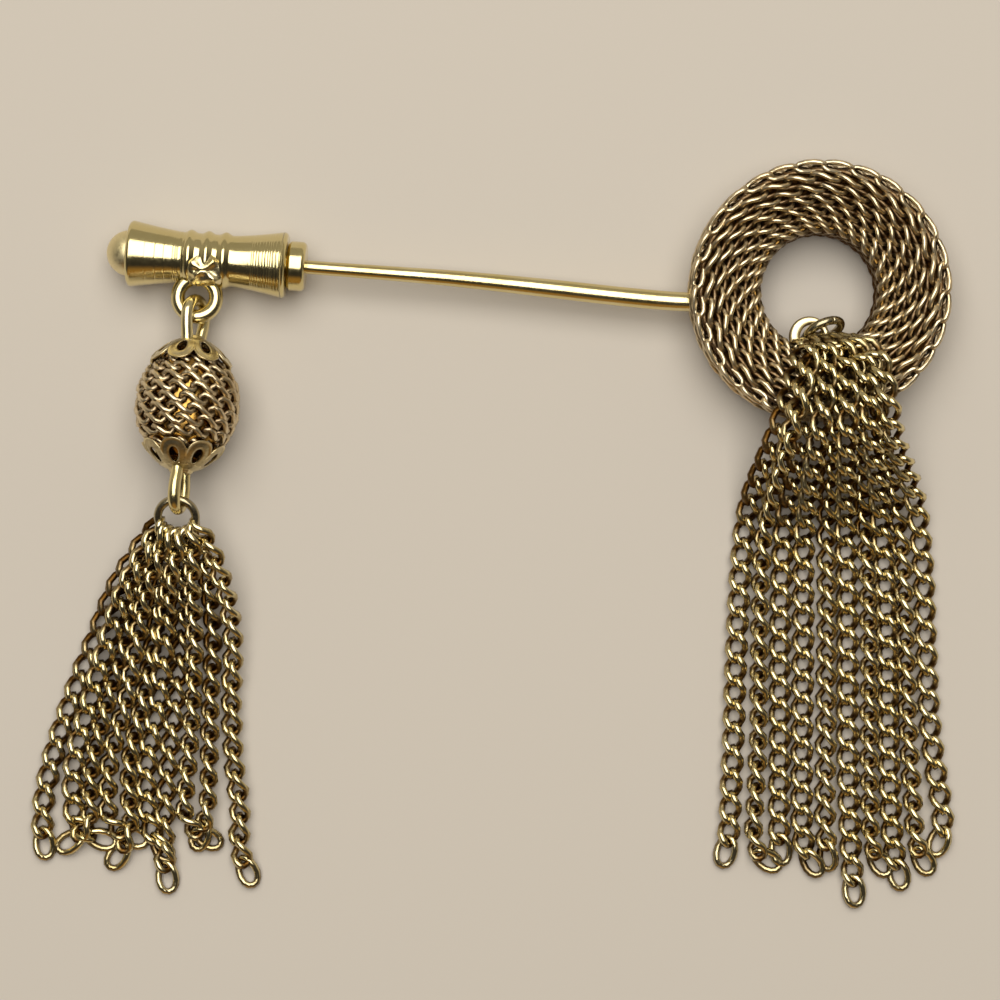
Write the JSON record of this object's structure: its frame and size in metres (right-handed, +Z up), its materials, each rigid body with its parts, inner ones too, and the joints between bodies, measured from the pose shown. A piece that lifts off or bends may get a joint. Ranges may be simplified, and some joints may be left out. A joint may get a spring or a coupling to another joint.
{
  "type": "stick pin",
  "caption": "Gold-tone jabot stick pin lying flat: mesh-covered ring head, turned clutch on the point, a curb-chain tassel on each end and a mesh-covered bead drop.",
  "frame": {"origin": "middle of the bounding box across the surface that the pin lies on, at the height of that surface", "axes": "+X along the pin from the clutch to the ring, +Y away from the tassels' ends, +Z up from the surface"},
  "size_m": [0.0792, 0.0634, 0.009],
  "materials": {
    "polished_gold_tone": "polished plating",
    "antique_gold_chain": "plated chain, dark in its recesses",
    "pale_jump_ring": "worn plating"
  },
  "bodies": {
    "pin": {"pin_frame": "polished_gold_tone", "ring_mesh": "antique_gold_chain", "long_jump_ring": "polished_gold_tone", "long_strand_01": "antique_gold_chain", "long_strand_02": "antique_gold_chain", "long_strand_03": "antique_gold_chain", "long_strand_04": "antique_gold_chain", "long_strand_05": "antique_gold_chain", "long_strand_06": "antique_gold_chain", "long_strand_07": "antique_gold_chain", "long_strand_08": "antique_gold_chain", "long_strand_09": "antique_gold_chain", "long_strand_10": "antique_gold_chain"},
    "clutch": {"clutch_barrel": "polished_gold_tone", "clutch_ball": "polished_gold_tone", "clutch_collar": "polished_gold_tone", "bead_wire": "polished_gold_tone", "bead_core": "polished_gold_tone", "bead_mesh": "antique_gold_chain", "bead_cap_top": "polished_gold_tone", "bead_cap_bottom": "polished_gold_tone", "short_jump_ring": "pale_jump_ring", "short_strand_01": "antique_gold_chain", "short_strand_02": "antique_gold_chain", "short_strand_03": "antique_gold_chain", "short_strand_04": "antique_gold_chain", "short_strand_05": "antique_gold_chain", "short_strand_06": "antique_gold_chain", "short_strand_07": "antique_gold_chain", "short_strand_08": "antique_gold_chain", "short_strand_09": "antique_gold_chain", "short_strand_10": "antique_gold_chain"}
  },
  "joints": [
    {"name": "clutch_slide", "type": "slide", "parent": "pin", "child": "clutch", "axis": [-0.997, 0.0776, 0], "range_m": [0, 0.014]}
  ]
}
